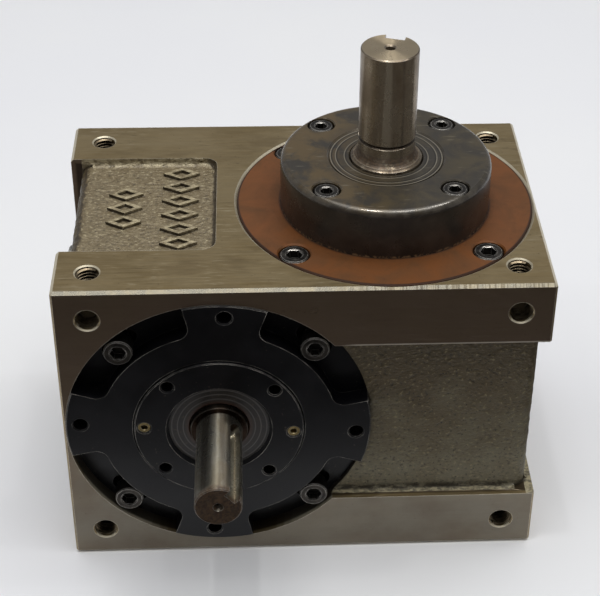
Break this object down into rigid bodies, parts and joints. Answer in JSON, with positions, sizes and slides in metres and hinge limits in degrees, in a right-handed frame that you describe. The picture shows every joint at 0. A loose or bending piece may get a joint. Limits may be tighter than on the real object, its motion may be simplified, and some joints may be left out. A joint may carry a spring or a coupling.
{
  "type": "roller gear cam indexing drive",
  "caption": "Right-angle indexing drive: a cast box with a keyed input shaft at the front and a keyed output shaft rising through a round cap on top.",
  "frame": {"origin": "on the output shaft's axis, in the plane of the base", "axes": "+Z along the output shaft, out of the top; -Y along the input shaft, out of the front; +X from the input axis to the output axis"},
  "size_m": [0.168, 0.1494, 0.1785],
  "materials": {
    "cast_housing": "cast with machined faces, oiled",
    "black_flange": "machined and blackened, satin",
    "brown_ring": "machined, brown oil-stained, satin",
    "dark_cap": "machined and blackened, worn on top",
    "machined_cover": "machined",
    "brass_screws": "yellow passivated",
    "black_screws": "black oxide",
    "black_rubber": "matt",
    "shaft_steel": "ground, lightly rusted",
    "bearing_steel": "ground and polished",
    "plated_plugs": "zinc plated",
    "window_glass": "clear",
    "copper_washers": "copper, dull",
    "hardened_steel": "hardened and ground"
  },
  "bodies": {
    "housing_body": {"housing": "cast_housing", "input_bearing_flange": "black_flange", "input_flange_o_ring": "black_rubber", "input_flange_screws": "black_screws", "input_seal_cover": "black_flange", "input_cover_screws": "brass_screws", "input_oil_seal": "black_rubber", "rear_bearing_flange": "black_flange", "rear_flange_o_ring": "black_rubber", "rear_flange_screws": "black_screws", "rear_blank_cover": "black_flange", "rear_cover_screws": "brass_screws", "input_front_bearing_cup": "bearing_steel", "input_rear_bearing_cup": "bearing_steel", "output_bearing_flange": "brown_ring", "output_flange_o_ring": "black_rubber", "output_flange_screws": "black_screws", "output_seal_cap": "dark_cap", "output_cap_screws": "black_screws", "output_oil_seal": "black_rubber", "output_upper_bearing_cup": "bearing_steel", "output_lower_bearing_cup": "bearing_steel", "bottom_bearing_cover": "machined_cover", "bottom_cover_o_ring": "black_rubber", "bottom_cover_screws": "black_screws", "oil_filler_plug": "plated_plugs", "oil_drain_plug": "plated_plugs", "oil_level_window_frame": "plated_plugs", "oil_level_window_glass": "window_glass", "plug_washers": "copper_washers"},
    "input_body": {"input_shaft": "shaft_steel", "indexing_cam": "hardened_steel", "cam_key": "hardened_steel", "cam_spacers": "hardened_steel", "input_lock_nut": "hardened_steel", "input_front_bearing_cone": "bearing_steel", "input_rear_bearing_cone": "bearing_steel"},
    "output_body": {"output_shaft": "shaft_steel", "follower_turret": "hardened_steel", "turret_key": "hardened_steel", "turret_circlip": "hardened_steel", "follower_studs": "hardened_steel", "output_upper_bearing_cone": "bearing_steel", "output_lower_bearing_cone": "bearing_steel"},
    "input_front_rollers": {"input_front_bearing_rollers": "bearing_steel"},
    "input_rear_rollers": {"input_rear_bearing_rollers": "bearing_steel"},
    "output_upper_rollers": {"output_upper_bearing_rollers": "bearing_steel"},
    "output_lower_rollers": {"output_lower_bearing_rollers": "bearing_steel"},
    "follower_1": {"follower_roller_1": "hardened_steel"},
    "follower_2": {"follower_roller_2": "hardened_steel"},
    "follower_3": {"follower_roller_3": "hardened_steel"},
    "follower_4": {"follower_roller_4": "hardened_steel"},
    "follower_5": {"follower_roller_5": "hardened_steel"},
    "follower_6": {"follower_roller_6": "hardened_steel"},
    "follower_7": {"follower_roller_7": "hardened_steel"},
    "follower_8": {"follower_roller_8": "hardened_steel"}
  },
  "joints": [
    {"name": "input_spin", "type": "hinge", "parent": "housing_body", "child": "input_body", "pos_m": [-0.06, 0, 0.059], "axis": [0, -1, 0], "continuous": true},
    {"name": "output_spin", "type": "hinge", "parent": "housing_body", "child": "output_body", "pos_m": [0, 0, 0.059], "axis": [0, 0, 1], "continuous": true},
    {"name": "input_front_roller_spin", "type": "hinge", "parent": "housing_body", "child": "input_front_rollers", "pos_m": [-0.06, 0, 0.059], "axis": [0, -1, 0], "continuous": true},
    {"name": "input_rear_roller_spin", "type": "hinge", "parent": "housing_body", "child": "input_rear_rollers", "pos_m": [-0.06, 0, 0.059], "axis": [0, -1, 0], "continuous": true},
    {"name": "output_upper_roller_spin", "type": "hinge", "parent": "housing_body", "child": "output_upper_rollers", "pos_m": [0, 0, 0.059], "axis": [0, 0, 1], "continuous": true},
    {"name": "output_lower_roller_spin", "type": "hinge", "parent": "housing_body", "child": "output_lower_rollers", "pos_m": [0, 0, 0.059], "axis": [0, 0, 1], "continuous": true},
    {"name": "follower_1_spin", "type": "hinge", "parent": "output_body", "child": "follower_1", "pos_m": [0.03206, 0.01328, 0.059], "axis": [0.9239, 0.3827, 0], "continuous": true},
    {"name": "follower_2_spin", "type": "hinge", "parent": "output_body", "child": "follower_2", "pos_m": [0.01328, 0.03206, 0.059], "axis": [0.3827, 0.9239, 0], "continuous": true},
    {"name": "follower_3_spin", "type": "hinge", "parent": "output_body", "child": "follower_3", "pos_m": [-0.01328, 0.03206, 0.059], "axis": [-0.3827, 0.9239, 0], "continuous": true},
    {"name": "follower_4_spin", "type": "hinge", "parent": "output_body", "child": "follower_4", "pos_m": [-0.03206, 0.01328, 0.059], "axis": [-0.9239, 0.3827, 0], "continuous": true},
    {"name": "follower_5_spin", "type": "hinge", "parent": "output_body", "child": "follower_5", "pos_m": [-0.03206, -0.01328, 0.059], "axis": [-0.9239, -0.3827, 0], "continuous": true},
    {"name": "follower_6_spin", "type": "hinge", "parent": "output_body", "child": "follower_6", "pos_m": [-0.01328, -0.03206, 0.059], "axis": [-0.3827, -0.9239, 0], "continuous": true},
    {"name": "follower_7_spin", "type": "hinge", "parent": "output_body", "child": "follower_7", "pos_m": [0.01328, -0.03206, 0.059], "axis": [0.3827, -0.9239, 0], "continuous": true},
    {"name": "follower_8_spin", "type": "hinge", "parent": "output_body", "child": "follower_8", "pos_m": [0.03206, -0.01328, 0.059], "axis": [0.9239, -0.3827, 0], "continuous": true}
  ],
  "couplings": [
    {"joint": "output_spin", "follows": "input_spin", "ratio": 0.125},
    {"joint": "input_front_roller_spin", "follows": "input_spin", "ratio": 0.4076},
    {"joint": "input_rear_roller_spin", "follows": "input_spin", "ratio": 0.4076},
    {"joint": "output_upper_roller_spin", "follows": "input_spin", "ratio": 0.0524},
    {"joint": "output_lower_roller_spin", "follows": "input_spin", "ratio": 0.0524}
  ]
}
